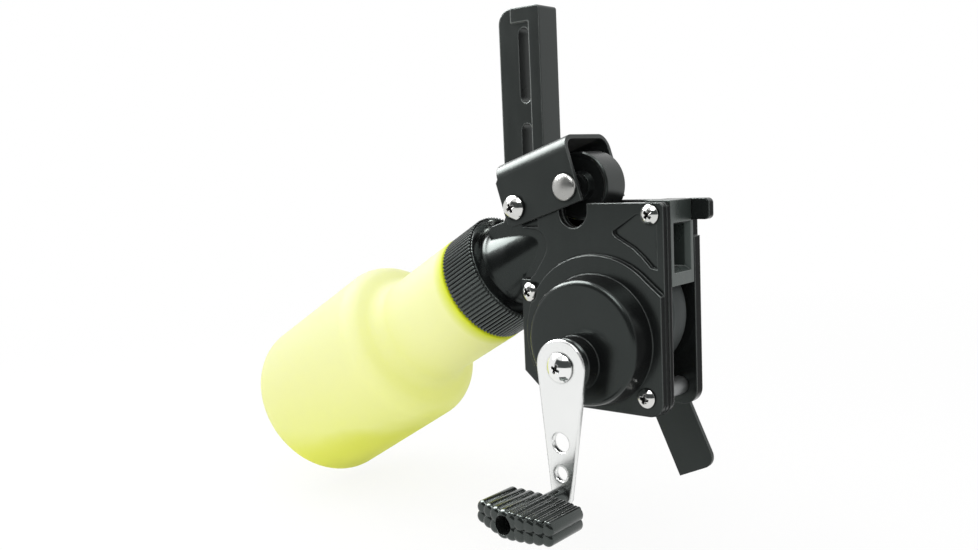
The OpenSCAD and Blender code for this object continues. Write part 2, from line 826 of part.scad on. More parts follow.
module drive_wheel() {
    rim_in = wheel_r - 5.5;
    hub_r = 6.5;
    hole_r = 3.2;
    hole_at = (rim_in + hub_r) / 2;
    web = 3;
    hub_over = 1;
    color("#55605b") on_mount() difference() {
        union() {
            rod(drive_x, drive_z, y_mid - wheel_w / 2, y_mid + wheel_w / 2, wheel_r - tyre_t);
            rod(drive_x, drive_z, y_mid - wheel_w / 2 - hub_over, y_mid + wheel_w / 2 + hub_over, hub_r);
        }
        rod(drive_x, drive_z, y_in, y_out, shaft_r);
        // sunk faces either side of the web
        for (y = [y_mid - web / 2 - wheel_w, y_mid + web / 2])
            difference() {
                rod(drive_x, drive_z, y, y + wheel_w, rim_in);
                rod(drive_x, drive_z, y - 1, y + wheel_w + 1, hub_r);
            }
        for (a = [0 : 60 : 300])
            rod(drive_x + hole_at * cos(a), drive_z + hole_at * sin(a), y_mid - web, y_mid + web, hole_r);
    }
}

module wheel_tyre() {
    crown = 0.3;
    edge = 1.2;
    color("#4b524f") on_mount() turned(drive_x, drive_z, y_mid + wheel_w / 2) polygon([[wheel_r - tyre_t, 0],
        [wheel_r - crown, 0], [wheel_r, edge], [wheel_r, wheel_w - edge], [wheel_r - crown, wheel_w],
        [wheel_r - tyre_t, wheel_w]]);
}

module shaft_clips() {
    clip_t = 0.7;
    color("#7d8184") on_mount()
        for (y = [y_mid - wheel_w / 2 - 1 - clip_t, y_mid + wheel_w / 2 + 1])
            difference() {
                rod(drive_x, drive_z, y, y + clip_t, shaft_r + 1.6);
                rod(drive_x, drive_z, y - 1, y + clip_t + 1, shaft_r);
            }
}

// level drawing of one lever cheek
module cheek() {
    polygon([[flange_left, flange_low + 1.5], [flange_left + 1.5, flange_low], [flange_right, flange_low],
        [flange_right, flange_top - bend_r], [flange_left + flange_cut, flange_top - bend_r],
        [flange_left, flange_top - bend_r - flange_cut]]);
}

module finger_lever() {
    y0 = y_flange_front - sheet_t;
    y1 = y_flange_back + sheet_t;
    corner = 4.5;
    web_x = flange_left + flange_cut;
    color("#303335") on_mount() on_lever() difference() {
        union() {
            slab(y0, y0 + sheet_t) cheek();
            slab(y1 - sheet_t, y1) cheek();
            // rounded web over the top
            translate([web_x, 0, 0]) rotate([90, 0, 90]) linear_extrude(flange_right - web_x) difference() {
                web_outline(y0, y1, 0);
                web_outline(y0, y1, sheet_t);
                translate([y0 - 1, -strip_len]) square([y1 - y0 + 2, flange_top - bend_r + strip_len]);
            }
            // finger strip on the back cheek
            slab(y1 - sheet_t, y1) translate([strip_x, 0]) rotate(strip_lean) union() {
                translate([-strip_w / 2, -strip_len + corner]) square([strip_w, strip_len - corner]);
                translate([-strip_w / 2, -strip_len]) square([strip_w - corner, corner]);
                translate([strip_w / 2 - corner, -strip_len + corner]) circle(r = corner);
            }
        }
        rod(0, 0, y0 - 1, y1 + 1, pivot_r + run_fit);
        rod(lever_len, 0, y0 - 1, y1 + 1, axle_r);
    }
}

// end view of the bent sheet, inset by the sheet thickness for its inside
module web_outline(y0, y1, inset) {
    r = max(bend_r - inset, sheet_t / 2);
    round_box(y0 + inset, flange_low - flange_top, y1 - inset, flange_top - inset, r);
}

module roller_axle() {
    y0 = y_flange_front - sheet_t;
    y1 = y_flange_back + sheet_t;
    dome = [[0, 0], [rivet_r, 0], [rivet_r, rivet_h * 0.3], [rivet_r * 0.9, rivet_h * 0.62],
        [rivet_r * 0.66, rivet_h * 0.88], [rivet_r * 0.34, rivet_h * 0.98], [0, rivet_h]];
    color("#4a4e51") on_mount() on_lever() {
        rod(lever_len, 0, y0, y1, axle_r);
        turned(lever_len, 0, y0) polygon(dome);
        mirror([0, 1, 0]) turned(lever_len, 0, -y1) polygon(dome);
    }
}

module axle_sleeves() {
    y0 = y_mid - roller_w / 2 - side_gap;
    y1 = y_mid + roller_w / 2 + side_gap;
    lip = y0 - y_in - side_gap;
    color("#2b2d2e") on_mount() on_lever() difference() {
        union() {
            rod(lever_len, 0, y_flange_front, y0, sleeve_r);
            rod(lever_len, 0, y0 - lip, y0, sleeve_lip_r);
            rod(lever_len, 0, y1, y_flange_back, sleeve_r);
            rod(lever_len, 0, y1, y1 + lip, sleeve_lip_r);
        }
        rod(lever_len, 0, y_flange_front - 1, y_flange_back + 1, axle_r);
    }
}

module pinch_roller() {
    edge = 0.5;
    rim = 1;
    dish = 2.2;
    hub_r = roller_bore_r + 1.6;
    shelf = 0.9;
    color("#2e3132") on_mount() on_lever() turned(lever_len, 0, y_mid + roller_w / 2)
        polygon([[roller_bore_r, 0], [hub_r, 0], [hub_r + rim, dish], [roller_r - 2 * rim, shelf],
            [roller_r - rim, 0], [roller_r - edge, 0], [roller_r, edge], [roller_r, roller_w - edge],
            [roller_r - edge, roller_w], [roller_r - rim, roller_w], [roller_r - 2 * rim, roller_w - shelf],
            [hub_r + rim, roller_w - dish], [hub_r, roller_w], [roller_bore_r, roller_w]]);
}

module roller_bush() {
    y0 = y_mid - roller_w / 2;
    y1 = y_mid + roller_w / 2;
    color("#b08d4a") on_mount() on_lever() difference() {
        rod(lever_len, 0, y0, y1, roller_bore_r);
        rod(lever_len, 0, y0 - 1, y1 + 1, axle_r + run_fit);
    }
}

// torsion spring round the pivot with one leg on the lever and one on the throat
module return_spring() {
    rings = 8;
    sides = 6;
    n = spring_turns * rings;
    coil = [for (i = [0 : n]) [spring_r * cos(i * 360 / rings), spring_y + spring_pitch * i / rings,
        spring_r * sin(i * 360 / rings)]];
    path = concat([coil[0] + [0, 0, -leg_low]], coil, [coil[n] + [0, 0, leg_high]]);
    last = len(path) - 1;
    points = [for (i = [0 : last])
        let (d = path[min(i + 1, last)] - path[max(i - 1, 0)])
        let (t = d / norm(d))
        let (a = cross(t, [0, 1, 0.01]))
        let (u = a / norm(a))
        let (v = cross(t, u))
        for (k = [0 : sides - 1]) path[i] + wire_r * (cos(k * 60) * u + sin(k * 60) * v)];
    walls = [for (i = [0 : last - 1]) for (k = [0 : sides - 1])
        [i * sides + k, i * sides + (k + 1) % sides, (i + 1) * sides + (k + 1) % sides, (i + 1) * sides + k]];
    ends = [[for (k = [sides - 1 : -1 : 0]) k], [for (k = [0 : sides - 1]) last * sides + k]];
    color("#9a9ea1") on_mount() translate([pivot_x, 0, pivot_z]) polyhedron(points, concat(walls, ends));
}

module collar() {
    skirt_r = finish_r + run_fit;
    rib_h = 0.6;
    color("#202223") on_mount() on_throat() difference() {
        union() {
            translate([0, 0, 1]) linear_extrude(collar_len - 1) polygon([for (i = [0 : 2 * collar_ribs - 1])
                (collar_r - (i % 2) * rib_h) * [cos(i * 180 / collar_ribs), sin(i * 180 / collar_ribs)]]);
            rotate_extrude() polygon([[0, 0], [collar_r - 1.4, 0], [collar_r - rib_h, 1],
                [collar_r - rib_h, 2], [0, 2]]);
        }
        translate([0, 0, -1]) cylinder(h = 4, r = lip_r);
        translate([0, 0, lip_t]) cylinder(h = collar_len, r = skirt_r);
    }
}

// points of an arc in a turned profile
function arc(x, z, r, first, last, steps) =
    [for (i = [0 : steps]) let (a = first + (last - first) * i / steps) [x + r * cos(a), z + r * sin(a)]];

module bottle() {
    w = bottle_wall;
    steps = 6;
    foot_r = bottle_r + body_taper;
    ring_s = shoulder_s + fillet_r;
    outside = concat([[finish_r - w, rim_s], [finish_r, rim_s], [finish_r, neck_s], [neck_r - 0.6, neck_s],
        [neck_r, neck_s + 0.6]],
        arc(neck_r + fillet_r, shoulder_s, fillet_r, 180, 90, steps),
        arc(bottle_r - shoulder_r, ring_s + shoulder_r, shoulder_r, -90, 0, steps),
        arc(foot_r - base_r, bottle_len - base_r, base_r, 0, 90, steps), [[0, bottle_len]]);
    inside = concat([[0, bottle_len - w]],
        arc(foot_r - base_r, bottle_len - base_r, base_r - w, 90, 0, steps),
        arc(bottle_r - shoulder_r, ring_s + shoulder_r, shoulder_r - w, 0, -90, steps),
        arc(neck_r + fillet_r, shoulder_s, fillet_r + w, 90, 180, steps),
        [[neck_r - w, neck_s + 3], [finish_r - w, neck_s + 1]]);
    color("#e9ee8c") on_mount() on_throat() rotate_extrude() polygon(concat(outside, inside));
}

gear_cover();
front_plate();
back_plate();
line_guide();
mount_bar();
mount_screws();
case_screws();
spacer_posts();
drive_bushes();
crank_bush();
pivot_pin();
pivot_nut();
throat_gasket();
crank_shaft();
crank_gear();
crank_arm();
crank_screw();
crank_washer();
knob_axle();
knob();
drive_shaft();
drive_pinion();
drive_wheel();
wheel_tyre();
shaft_clips();
finger_lever();
roller_axle();
axle_sleeves();
pinch_roller();
roller_bush();
return_spring();
collar();
bottle();
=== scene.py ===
import math
import bpy
import bmesh
from mathutils import Euler, Matrix, Vector


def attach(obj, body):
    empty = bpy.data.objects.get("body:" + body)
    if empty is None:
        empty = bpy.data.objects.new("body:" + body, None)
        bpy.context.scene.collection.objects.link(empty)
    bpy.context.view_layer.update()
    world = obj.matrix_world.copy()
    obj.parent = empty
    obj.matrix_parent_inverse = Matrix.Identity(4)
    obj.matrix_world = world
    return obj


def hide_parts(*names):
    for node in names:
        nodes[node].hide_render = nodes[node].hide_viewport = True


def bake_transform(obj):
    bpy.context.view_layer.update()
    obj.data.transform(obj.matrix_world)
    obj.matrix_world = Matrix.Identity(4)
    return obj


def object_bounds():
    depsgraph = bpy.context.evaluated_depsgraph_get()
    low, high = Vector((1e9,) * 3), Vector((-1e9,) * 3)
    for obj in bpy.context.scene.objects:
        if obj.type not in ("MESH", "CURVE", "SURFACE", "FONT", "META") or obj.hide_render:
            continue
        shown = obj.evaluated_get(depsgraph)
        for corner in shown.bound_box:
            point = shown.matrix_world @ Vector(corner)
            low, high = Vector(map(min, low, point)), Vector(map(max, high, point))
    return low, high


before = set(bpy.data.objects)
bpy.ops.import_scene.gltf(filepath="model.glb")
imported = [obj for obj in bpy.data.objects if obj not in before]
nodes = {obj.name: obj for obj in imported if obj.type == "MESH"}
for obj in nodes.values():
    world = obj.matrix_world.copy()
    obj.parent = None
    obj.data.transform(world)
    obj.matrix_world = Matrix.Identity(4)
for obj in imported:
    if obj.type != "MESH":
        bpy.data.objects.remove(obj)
cadLow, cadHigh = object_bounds()
print("frame loaded,", len(nodes), "nodes")

perMetre = 1000
crankAxis = Vector((48.3, -38.4, -89.85))  # in the row frame, mm
toMetres = Matrix.Scale(1 / perMetre, 4)
towardsFront = Euler((math.radians(90), 0, 0)).to_matrix().to_4x4()  # local Z to -Y


# takes mm from the crank axis
def rowPoint(x, y, z):
    return (Vector((x, y, z)) + crankAxis) / perMetre


# shader helpers

noiseSpan = (0.25, 0.75)  # where most of a noise field lies
cloudSpan = (0.3, 0.7)
surfaceSamples = 6


def newFinish(name):
    mat = bpy.data.materials.new(name)
    mat.use_nodes = True
    tree = mat.node_tree
    return mat, tree, tree.nodes["Principled BSDF"]


def addNode(tree, kind, **values):
    node = tree.nodes.new(kind)
    for key, value in values.items():
        if hasattr(node, key) and key not in node.inputs:
            setattr(node, key, value)
        else:
            node.inputs[key].default_value = value
    return node


def setInputs(node, values):
    for label, value in values.items():
        node.inputs[label].default_value = value


def objectSpace(tree, scale=(1, 1, 1)):
    coords = addNode(tree, "ShaderNodeTexCoord")
    mapping = addNode(tree, "ShaderNodeMapping", Scale=scale)
    tree.links.new(coords.outputs["Object"], mapping.inputs["Vector"])
    return mapping.outputs["Vector"]


def noiseField(tree, space, scale, detail, roughness=0.55):
    noise = addNode(tree, "ShaderNodeTexNoise", Scale=scale, Detail=detail, Roughness=roughness)
    tree.links.new(space, noise.inputs["Vector"])
    return noise.outputs["Fac"]


def ramp(tree, field, stops):
    node = addNode(tree, "ShaderNodeValToRGB")
    bar = node.color_ramp.elements
    while len(bar) < len(stops):
        bar.new(0.5)
    for element, (place, color) in zip(bar, stops):
        element.position = place
        element.color = (*color, 1)
    tree.links.new(field, node.inputs["Fac"])
    return node.outputs["Color"]


def clouded(tree, cloud, low, high):
    return ramp(tree, cloud, list(zip(cloudSpan, (low, high))))


def toned(color, share):
    return tuple(channel * share for channel in color)


def rescale(tree, field, span, result=(0, 1), smooth=False):
    node = addNode(tree, "ShaderNodeMapRange")
    if smooth:
        node.interpolation_type = "SMOOTHSTEP"
    setInputs(node, {"From Min": span[0], "From Max": span[1], "To Min": result[0], "To Max": result[1]})
    tree.links.new(field, node.inputs["Value"])
    return node.outputs["Result"]


def spread(tree, noise, result):
    return rescale(tree, noise, noiseSpan, result)


def mathNode(tree, operation, first, second=None):
    node = addNode(tree, "ShaderNodeMath", operation=operation)
    for socket, value in zip(node.inputs, (first, second)):
        if isinstance(value, (int, float)):
            socket.default_value = value
        elif value is not None:
            tree.links.new(value, socket)
    return node.outputs[0]


def times(tree, first, second):
    return mathNode(tree, "MULTIPLY", first, second)


# how far a vector goes along a fixed direction or another vector
def partAlong(tree, vector, towards):
    dot = addNode(tree, "ShaderNodeVectorMath", operation="DOT_PRODUCT")
    tree.links.new(vector, dot.inputs[0])
    if isinstance(towards, tuple):
        dot.inputs[1].default_value = Vector(towards).normalized()
    else:
        tree.links.new(towards, dot.inputs[1])
    return dot.outputs["Value"]


# 0 to 1 between two distances along a direction
def reachAlong(tree, space, towards, span):
    return rescale(tree, partAlong(tree, space, towards), span)


def softEdges(tree, radius):
    bevel = addNode(tree, "ShaderNodeBevel", samples=surfaceSamples, Radius=radius)
    return bevel.outputs["Normal"]


# 1 on rounded edges, 0 on plain faces
def edgeMask(tree, rounded, span):
    plain = addNode(tree, "ShaderNodeNewGeometry")
    return rescale(tree, partAlong(tree, rounded, plain.outputs["Normal"]), span, (1, 0))


# 0 to 1 as the surface turns towards a direction fixed to the piece
def turnedTo(tree, normal, towards, span):
    fixed = addNode(tree, "ShaderNodeVectorTransform", vector_type="NORMAL", convert_from="WORLD",
                    convert_to="OBJECT")
    tree.links.new(normal, fixed.inputs["Vector"])
    return rescale(tree, partAlong(tree, fixed.outputs["Vector"], towards), span)


# 1 in the open, 0 in narrow hollows
def openness(tree, reach, span):
    cavity = addNode(tree, "ShaderNodeAmbientOcclusion", samples=surfaceSamples, Distance=reach)
    return rescale(tree, cavity.outputs["AO"], span)


def bump(tree, field, strength, distance, under=None):
    node = addNode(tree, "ShaderNodeBump", Strength=strength, Distance=distance)
    tree.links.new(field, node.inputs["Height"])
    if under:
        tree.links.new(under, node.inputs["Normal"])
    return node.outputs["Normal"]


def mixColors(tree, share, first, second):
    node = addNode(tree, "ShaderNodeMix", data_type="RGBA")
    tree.links.new(share, node.inputs[0])
    for socket, value in ((node.inputs[6], first), (node.inputs[7], second)):  # the colour sockets
        if isinstance(value, tuple):
            socket.default_value = (*value, 1)
        else:
            tree.links.new(value, socket)
    return node.outputs[2]


# mixes two shaders and sends them to the output
def mixShaders(tree, share, first, second, output="Material Output"):
    mix = addNode(tree, "ShaderNodeMixShader")
    if isinstance(share, (int, float)):
        mix.inputs["Fac"].default_value = share
    else:
        tree.links.new(share, mix.inputs["Fac"])
    tree.links.new(first.outputs[0], mix.inputs[1])
    tree.links.new(second.outputs[0], mix.inputs[2])
    tree.links.new(mix.outputs[0], tree.nodes[output].inputs["Surface"])


# moulded or painted surface: mottled colour, uneven gloss, fine grain, light edges that are partly wear and
# partly painted highlight where they turn to the lamps, and painted shade that dims the gloss in hollows and
# on one side
def coatedFinish(name, look):
    mat, tree, shader = newFinish(name)
    space = objectSpace(tree)
    cloud = noiseField(tree, space, look["cloud"], detail=3)
    grain = noiseField(tree, space, look["grain"], detail=5, roughness=0.6)
    smear = noiseField(tree, objectSpace(tree, look["smear"]), look["cloud"] * look["smearFiner"], detail=3)
    body = clouded(tree, cloud, toned(look["color"], 1 - look["mottle"]),
                   toned(look["color"], 1 + look["mottle"]))
    rounded = softEdges(tree, look["edge"])
    # painted highlight, partly wear: rounded edges take a lighter colour, most where they turn up to the
    # lamps
    wearAndHighlight = times(tree, edgeMask(tree, rounded, look["wearHighlightEdge"]),
                 turnedTo(tree, rounded, look["wearHighlightSide"], look["wearHighlightTurn"]))
    clear = openness(tree, *look["hollow"])
    wearAndHighlight = times(tree, wearAndHighlight, mathNode(tree, "MAXIMUM", clear, look["hollowWearHighlight"]))  # less on inside corners
    # painted shade: the gloss is dimmed in narrow hollows
    shine = times(tree, mathNode(tree, "MAXIMUM", clear, look["hollowShine"]), look["specular"])
    # painted shade: the gloss is dimmed on faces turned to one side of the piece
    if "shadedSide" in look:
        sideShade = times(tree, turnedTo(tree, rounded, look["shadedSide"], look["shadedTurn"]), -look["shadeDepth"])
        shine = times(tree, shine, mathNode(tree, "ADD", sideShade, 1))
    tree.links.new(mixColors(tree, wearAndHighlight, body, look["wearHighlightColor"]), shader.inputs["Base Color"])
    tree.links.new(spread(tree, smear, look["gloss"]), shader.inputs["Roughness"])
    tree.links.new(bump(tree, grain, look["relief"], look["grainDepth"], rounded), shader.inputs["Normal"])
    tree.links.new(shine, shader.inputs["Specular IOR Level"])
    setInputs(shader, {"Specular Tint": look["shineTint"], "Sheen Weight": look["sheen"],
                       "Sheen Roughness": look["sheenRough"]})
    return mat


# bare metal: gloss in streaks or clouds, painted shade in narrow hollows
def metalFinish(name, look):
    mat, tree, shader = newFinish(name)
    streaks = noiseField(tree, objectSpace(tree, look["streak"]), look["grain"], detail=4)
    cloud = noiseField(tree, objectSpace(tree), look["cloud"], detail=3)
    body = clouded(tree, cloud, toned(look["color"], 1 - look["mottle"]), look["color"])
    rounded = softEdges(tree, look["edge"])
    # painted shade: the colour darkens in narrow hollows
    shadedBody = mixColors(tree, openness(tree, *look["hollow"]), look["hollowShadeColor"], body)
    tree.links.new(shadedBody, shader.inputs["Base Color"])
    tree.links.new(spread(tree, streaks, look["gloss"]), shader.inputs["Roughness"])
    tree.links.new(bump(tree, streaks, look["relief"], look["grainDepth"], rounded), shader.inputs["Normal"])
    shader.inputs["Metallic"].default_value = 1
    return mat


# thin moulded bottle wall: painted light makes it paler towards the upper side, painted shade makes it deeper
# where the wall is hidden from the light and next to the collar
def bottleFinish(name, look):
    mat, tree, shader = newFinish(name)
    space = objectSpace(tree)
    cloud = noiseField(tree, space, look["cloud"], detail=3)
    grain = noiseField(tree, space, look["grain"], detail=4)
    # painted light: the colour pales towards the upper side, turned to the lamps, and deepens towards the
    # bottom
    height = reachAlong(tree, space, *look["rise"])
    mottled = mathNode(tree, "ADD", height, spread(tree, cloud, look["mottle"]))
    body = ramp(tree, mottled, look["stops"])
    # painted shade: deeper colour where nearby parts hide the wall
    body = mixColors(tree, openness(tree, *look["hollow"]), look["deep"], body)
    # painted shade: deeper colour in a band next to the collar
    body = mixColors(tree, reachAlong(tree, space, *look["collarShade"]), look["collarShadeColor"], body)
    tree.links.new(body, shader.inputs["Base Color"])
    tree.links.new(spread(tree, cloud, look["gloss"]), shader.inputs["Roughness"])
    tree.links.new(bump(tree, grain, look["relief"], look["grainDepth"]), shader.inputs["Normal"])
    setInputs(shader, {"Specular IOR Level": look["specular"], "Subsurface Weight": look["milky"],
                       "Subsurface Radius": look["milkyReach"], "Subsurface Scale": 1})
    through = addNode(tree, "ShaderNodeBsdfTranslucent")
    tree.links.new(body, through.inputs["Color"])
    mixShaders(tree, look["through"], shader, through)
    return mat


caseLook = {
    "color": (0.0045, 0.005, 0.005), "mottle": 0.2, "cloud": 60,
    "grain": 1800, "relief": 0.05, "grainDepth": 0.0002,
    # edge colour: painted highlight, partly wear, on rounded edges turned to the lamps
    "edge": 0.0008, "wearHighlightColor": (0.1, 0.106, 0.104),
    "wearHighlightEdge": (0.86, 0.995), "wearHighlightSide": (0.25, -0.3, 0.9), "wearHighlightTurn": (-0.1, 0.7),
    "hollow": (0.0012, (0.35, 0.9)), "hollowWearHighlight": 0.35, "hollowShine": 0.1,
    "smear": (1, 1, 0.2), "smearFiner": 4, "gloss": (0.17, 0.26),
    "specular": 0.45, "shineTint": (0.88, 1, 0.95, 1), "shadedTurn": (0.8, 0.97), "shadeDepth": 0.95,
    "sheen": 0.05, "sheenRough": 0.35,
}
coatLooks = {
    # painted shade: less gloss on the case faces turned to +X
    "case_plastic": dict(caseLook, shadedSide=(1, 0, 0)),
    "collar_plastic": dict(caseLook, gloss=(0.14, 0.2), specular=1.2, relief=0.04, edge=0.0001),
    "knob_plastic": dict(caseLook, color=(0.007, 0.008, 0.0075), gloss=(0.13, 0.22), specular=0.75, sheen=0.1,
                         relief=0.04, edge=0.0002),
    "guide_plastic": dict(caseLook, color=(0.018, 0.023, 0.021), gloss=(0.24, 0.34), specular=0.8,
                          wearHighlightColor=(0.12, 0.13, 0.125), edge=0.0005),
    "roller_plastic": dict(caseLook, gloss=(0.25, 0.35), edge=0.0004, wearHighlightColor=(0.01, 0.011, 0.011)),
    # painted highlight, partly wear: light edges round the bar's slots and front edge
    "bar_paint": dict(caseLook, grain=1200, relief=0.12, gloss=(0.26, 0.36), edge=0.0009,
                      wearHighlightSide=(-0.6, -0.7, 0.25), wearHighlightColor=(0.26, 0.275, 0.27)),
    "lever_paint": dict(caseLook, gloss=(0.3, 0.4), edge=0.0005),
    "tyre_rubber": dict(caseLook, color=(0.016, 0.018, 0.019), gloss=(0.5, 0.65), relief=0.3, edge=0.0004),
    "gear_nylon": dict(caseLook, color=(0.58, 0.55, 0.44), wearHighlightColor=(0.66, 0.64, 0.54), mottle=0.06,
                       edge=0.0003),
}
zincLook = {
    "color": (0.68, 0.68, 0.66), "mottle": 0.08, "cloud": 300,
    "grain": 900, "streak": (1, 1, 1), "relief": 0.05, "grainDepth": 0.0001,
    # painted shade colour and reach for narrow hollows
    "edge": 0.0003, "gloss": (0.07, 0.16), "hollow": (0.0016, (0.3, 0.75)), "hollowShadeColor": (0.02, 0.02, 0.02),
}
chromeLook = dict(zincLook, color=(0.86, 0.87, 0.86), mottle=0.04, cloud=40)
groundLook = dict(zincLook, color=(0.62, 0.63, 0.64), mottle=0.1, cloud=120, grain=700, streak=(1, 0.1, 1),
                  gloss=(0.18, 0.3), relief=0.08, edge=0.0002)
metalLooks = {
    "crank_chrome": dict(chromeLook, grain=300, streak=(6, 1, 0.3), gloss=(0.17, 0.25), relief=0.04,
                         edge=0.0012),
    "zinc_steel": zincLook,
    "ground_steel": groundLook,
    "spring_steel": dict(zincLook, color=(0.5, 0.51, 0.52), mottle=0.12, cloud=150, gloss=(0.24, 0.36),
                         relief=0.08, edge=0.0002),
    "bush_brass": dict(groundLook, color=(0.78, 0.57, 0.27), mottle=0.15, cloud=160, gloss=(0.22, 0.36),
                       relief=0.1),
}
bottleColors = {
    # painted light: colours run from the lower to the upper side
    "rise": ((-0.3, 0, 0.95), (-0.115, -0.03)),
    "stops": [(0, (0.72, 0.77, 0.06)), (0.12, (0.88, 0.92, 0.3)), (0.4, (0.9, 0.92, 0.38)),
              (1, (0.92, 0.95, 0.54))],
    # painted shade colour for hollows
    "hollow": (0.03, (0.45, 1)), "deep": (0.82, 0.86, 0.13),
    # painted shade beside the collar
    "collarShade": ((-0.8686, 0, -0.4955), (0.0445, 0.05)), "collarShadeColor": (0.66, 0.74, 0.02),  # next to the collar
    "cloud": 18, "mottle": (-0.06, 0.06), "grain": 900, "relief": 0.08, "grainDepth": 0.0002,
    "gloss": (0.5, 0.62), "specular": 0.15,
    "milky": 0.35, "milkyReach": (0.006, 0.006, 0.002), "through": 0.1,
}


# case_plastic is made as casePlastic
def finishName(slotName):
    first, second = slotName.split("_")
    return first + second.capitalize()


finishes = {slotName: coatedFinish(finishName(slotName), look) for slotName, look in coatLooks.items()}
for slotName, look in metalLooks.items():
    finishes[slotName] = metalFinish(finishName(slotName), look)
finishes["bottle_plastic"] = bottleFinish("bottlePlastic", bottleColors)
rivetSteel = metalFinish("rivetSteel", dict(zincLook, color=(0.4, 0.4, 0.385), gloss=(0.26, 0.34),
                                            relief=0.06))
screwChrome = metalFinish("screwChrome", dict(chromeLook, grain=600, gloss=(0.05, 0.1), relief=0.03))
postSteel = metalFinish("postSteel", dict(groundLook, color=(0.3, 0.31, 0.31), gloss=(0.4, 0.5), edge=0.0003))
sleeveBlack = coatedFinish("sleeveBlack", dict(caseLook, color=(0.003, 0.0032, 0.0032), gloss=(0.45, 0.6),
                                               wearHighlightColor=(0.005, 0.005, 0.005), specular=0.2, edge=0.0002))
print("finishes made,", len(finishes))

slotNodes = {
    "case_plastic": ["gear_cover", "front_plate", "back_plate"],
    "collar_plastic": ["collar"],
    "knob_plastic": ["knob"],
    "guide_plastic": ["line_guide", "drive_wheel"],
    "roller_plastic": ["pinch_roller", "axle_sleeves"],
    "bar_paint": ["mount_bar"],
    "lever_paint": ["finger_lever"],
    "crank_chrome": ["crank_arm", "crank_screw"],
    "zinc_steel": ["mount_screws", "case_screws", "pivot_pin", "pivot_nut", "roller_axle", "crank_washer",
                   "shaft_clips", "spacer_posts"],
    "ground_steel": ["crank_shaft", "drive_shaft", "knob_axle", "drive_pinion"],
    "spring_steel": ["return_spring"],
    "bush_brass": ["drive_bushes", "crank_bush", "roller_bush"],
    "gear_nylon": ["crank_gear"],
    "tyre_rubber": ["wheel_tyre", "throat_gasket"],
    "bottle_plastic": ["bottle"],
}
for slotName, names in slotNodes.items():
    for name in names:
        nodes[name].data.materials.clear()
        nodes[name].data.materials.append(finishes[slotName])
nodes["spacer_posts"].data.materials[0] = postSteel
nodes["axle_sleeves"].data.materials[0] = sleeveBlack
print("finishes on the frame")


# geometry helpers

def newTree(name, inputs):
    tree = bpy.data.node_groups.new(name, "GeometryNodeTree")
    tree.interface.new_socket("Geometry", in_out="INPUT", socket_type="NodeSocketGeometry")
    for label, kind in (*inputs, ("Finish", "Material")):
        tree.interface.new_socket(label, in_out="INPUT", socket_type="NodeSocket" + kind)
    tree.interface.new_socket("Geometry", in_out="OUTPUT", socket_type="NodeSocketGeometry")
    return tree, addNode(tree, "NodeGroupInput")


def endTree(tree, given, shape):
    real = addNode(tree, "GeometryNodeRealizeInstances")
    tree.links.new(shape, real.inputs[0])
    paint = addNode(tree, "GeometryNodeSetMaterial")
    tree.links.new(real.outputs[0], paint.inputs["Geometry"])
    tree.links.new(given.outputs["Finish"], paint.inputs["Material"])
    tree.links.new(paint.outputs[0], addNode(tree, "NodeGroupOutput").inputs[0])
    return tree


def indexField(tree):
    return addNode(tree, "GeometryNodeInputIndex").outputs[0]


def otherMesh(tree, thing):
    info = addNode(tree, "GeometryNodeObjectInfo")
    tree.links.new(thing, info.inputs["Object"])
    return info.outputs["Geometry"]


def storedVector(tree, label):
    stored = addNode(tree, "GeometryNodeInputNamedAttribute", data_type="FLOAT_VECTOR", Name=label)
    return stored.outputs["Attribute"]


# a row of profile points swept round local Z: X is the radius, Z the height
def latheTree(weldGap):
    tree, given = newTree("latheWall", [("Around", "Int"), ("Along", "Int")])
    link = tree.links.new
    around = given.outputs["Around"]
    along = given.outputs["Along"]
    grid = addNode(tree, "GeometryNodeMeshGrid")
    link(mathNode(tree, "ADD", around, 1), grid.inputs["Vertices X"])
    link(along, grid.inputs["Vertices Y"])
    index = indexField(tree)
    row = mathNode(tree, "MODULO", index, along)
    column = mathNode(tree, "FLOOR", mathNode(tree, "DIVIDE", index, along))
    turn = times(tree, mathNode(tree, "DIVIDE", column, around), math.tau)
    sample = addNode(tree, "GeometryNodeSampleIndex", data_type="FLOAT_VECTOR", domain="POINT")
    link(given.outputs["Geometry"], sample.inputs["Geometry"])
    link(addNode(tree, "GeometryNodeInputPosition").outputs[0], sample.inputs["Value"])
    link(row, sample.inputs["Index"])
    parts = addNode(tree, "ShaderNodeSeparateXYZ")
    link(sample.outputs["Value"], parts.inputs[0])
    spot = addNode(tree, "ShaderNodeCombineXYZ")
    link(times(tree, parts.outputs[0], mathNode(tree, "COSINE", turn)), spot.inputs[0])
    link(times(tree, parts.outputs[0], mathNode(tree, "SINE", turn)), spot.inputs[1])
    link(parts.outputs[2], spot.inputs[2])
    move = addNode(tree, "GeometryNodeSetPosition")
    link(grid.outputs["Mesh"], move.inputs["Geometry"])
    link(spot.outputs[0], move.inputs["Position"])
    weld = addNode(tree, "GeometryNodeMergeByDistance", Distance=weldGap)
    link(move.outputs[0], weld.inputs["Geometry"])
    return endTree(tree, given, weld.outputs[0])


# copies of the base mesh round local Z
def ringTree():
    tree, given = newTree("ringCopies", [("Count", "Int"), ("Radius", "Float")])
    link = tree.links.new
    ring = addNode(tree, "GeometryNodeMeshCircle")
    link(given.outputs["Count"], ring.inputs["Vertices"])
    link(given.outputs["Radius"], ring.inputs["Radius"])
    share = mathNode(tree, "DIVIDE", indexField(tree), given.outputs["Count"])
    spin = addNode(tree, "ShaderNodeCombineXYZ")
    link(times(tree, share, math.tau), spin.inputs[2])
    copies = addNode(tree, "GeometryNodeInstanceOnPoints")
    link(ring.outputs[0], copies.inputs["Points"])
    link(given.outputs["Geometry"], copies.inputs["Instance"])
    link(spin.outputs[0], copies.inputs["Rotation"])
    return endTree(tree, given, copies.outputs[0])


